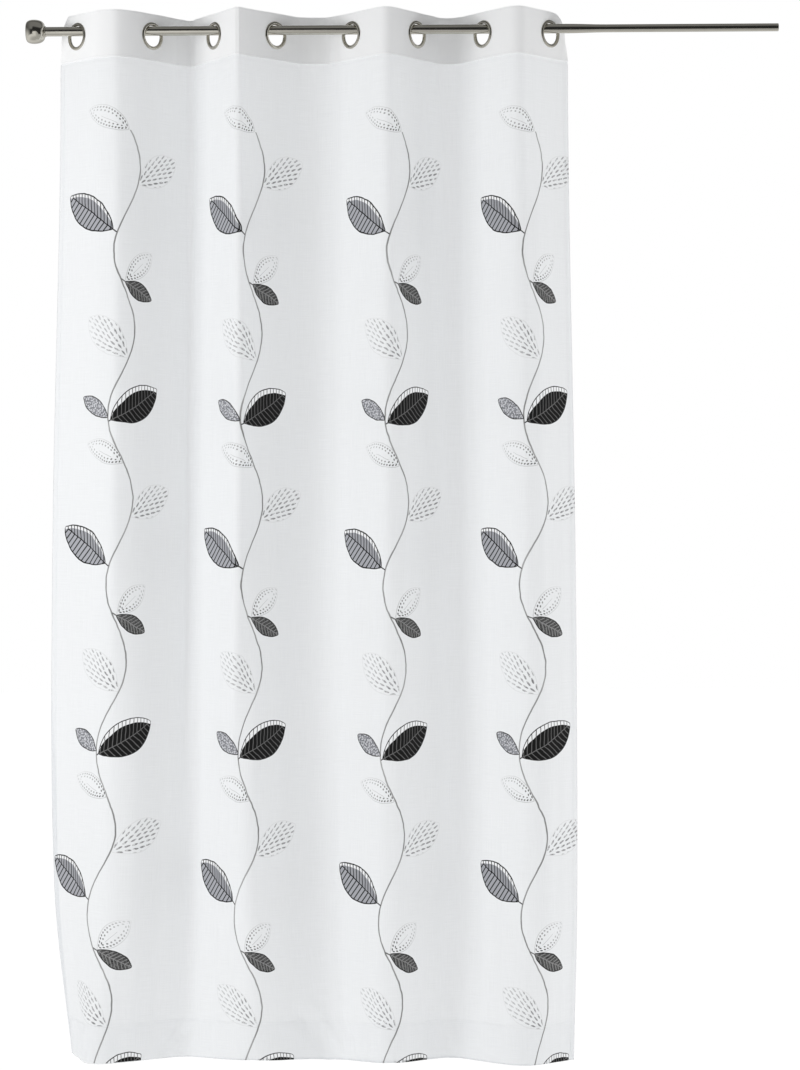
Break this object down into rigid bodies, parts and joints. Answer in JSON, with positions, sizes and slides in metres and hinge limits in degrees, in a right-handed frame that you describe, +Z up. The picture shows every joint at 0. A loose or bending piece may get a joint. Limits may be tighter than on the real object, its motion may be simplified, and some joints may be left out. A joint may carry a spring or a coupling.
{
  "type": "sheer voile eyelet curtain on a curtain rod",
  "caption": "White sheer voile curtain with a pale leaf vine print, hanging in soft folds from nickel eyelets on a slim nickel rod with a cushion-shaped end knob.",
  "frame": {"origin": "on the rod's axis, half-way between the outer face of the knob and the plain end", "axes": "+X along the rod, from the knob to the plain end; +Z up; -Y the front, towards the room"},
  "size_m": [1.5266, 0.1611, 2.134],
  "materials": {
    "white_voile": "sheer matt weave",
    "white_heading_cloth": "matt, stiffened",
    "satin_nickel": "satin nickel plate"
  },
  "bodies": {
    "root": {"voile_panel": "white_voile", "heading_band": "white_heading_cloth", "eyelet_1": "satin_nickel", "eyelet_2": "satin_nickel", "eyelet_3": "satin_nickel", "eyelet_4": "satin_nickel", "eyelet_5": "satin_nickel", "eyelet_6": "satin_nickel", "eyelet_7": "satin_nickel", "eyelet_8": "satin_nickel", "rod": "satin_nickel", "end_knob": "satin_nickel"}
  },
  "joints": []
}
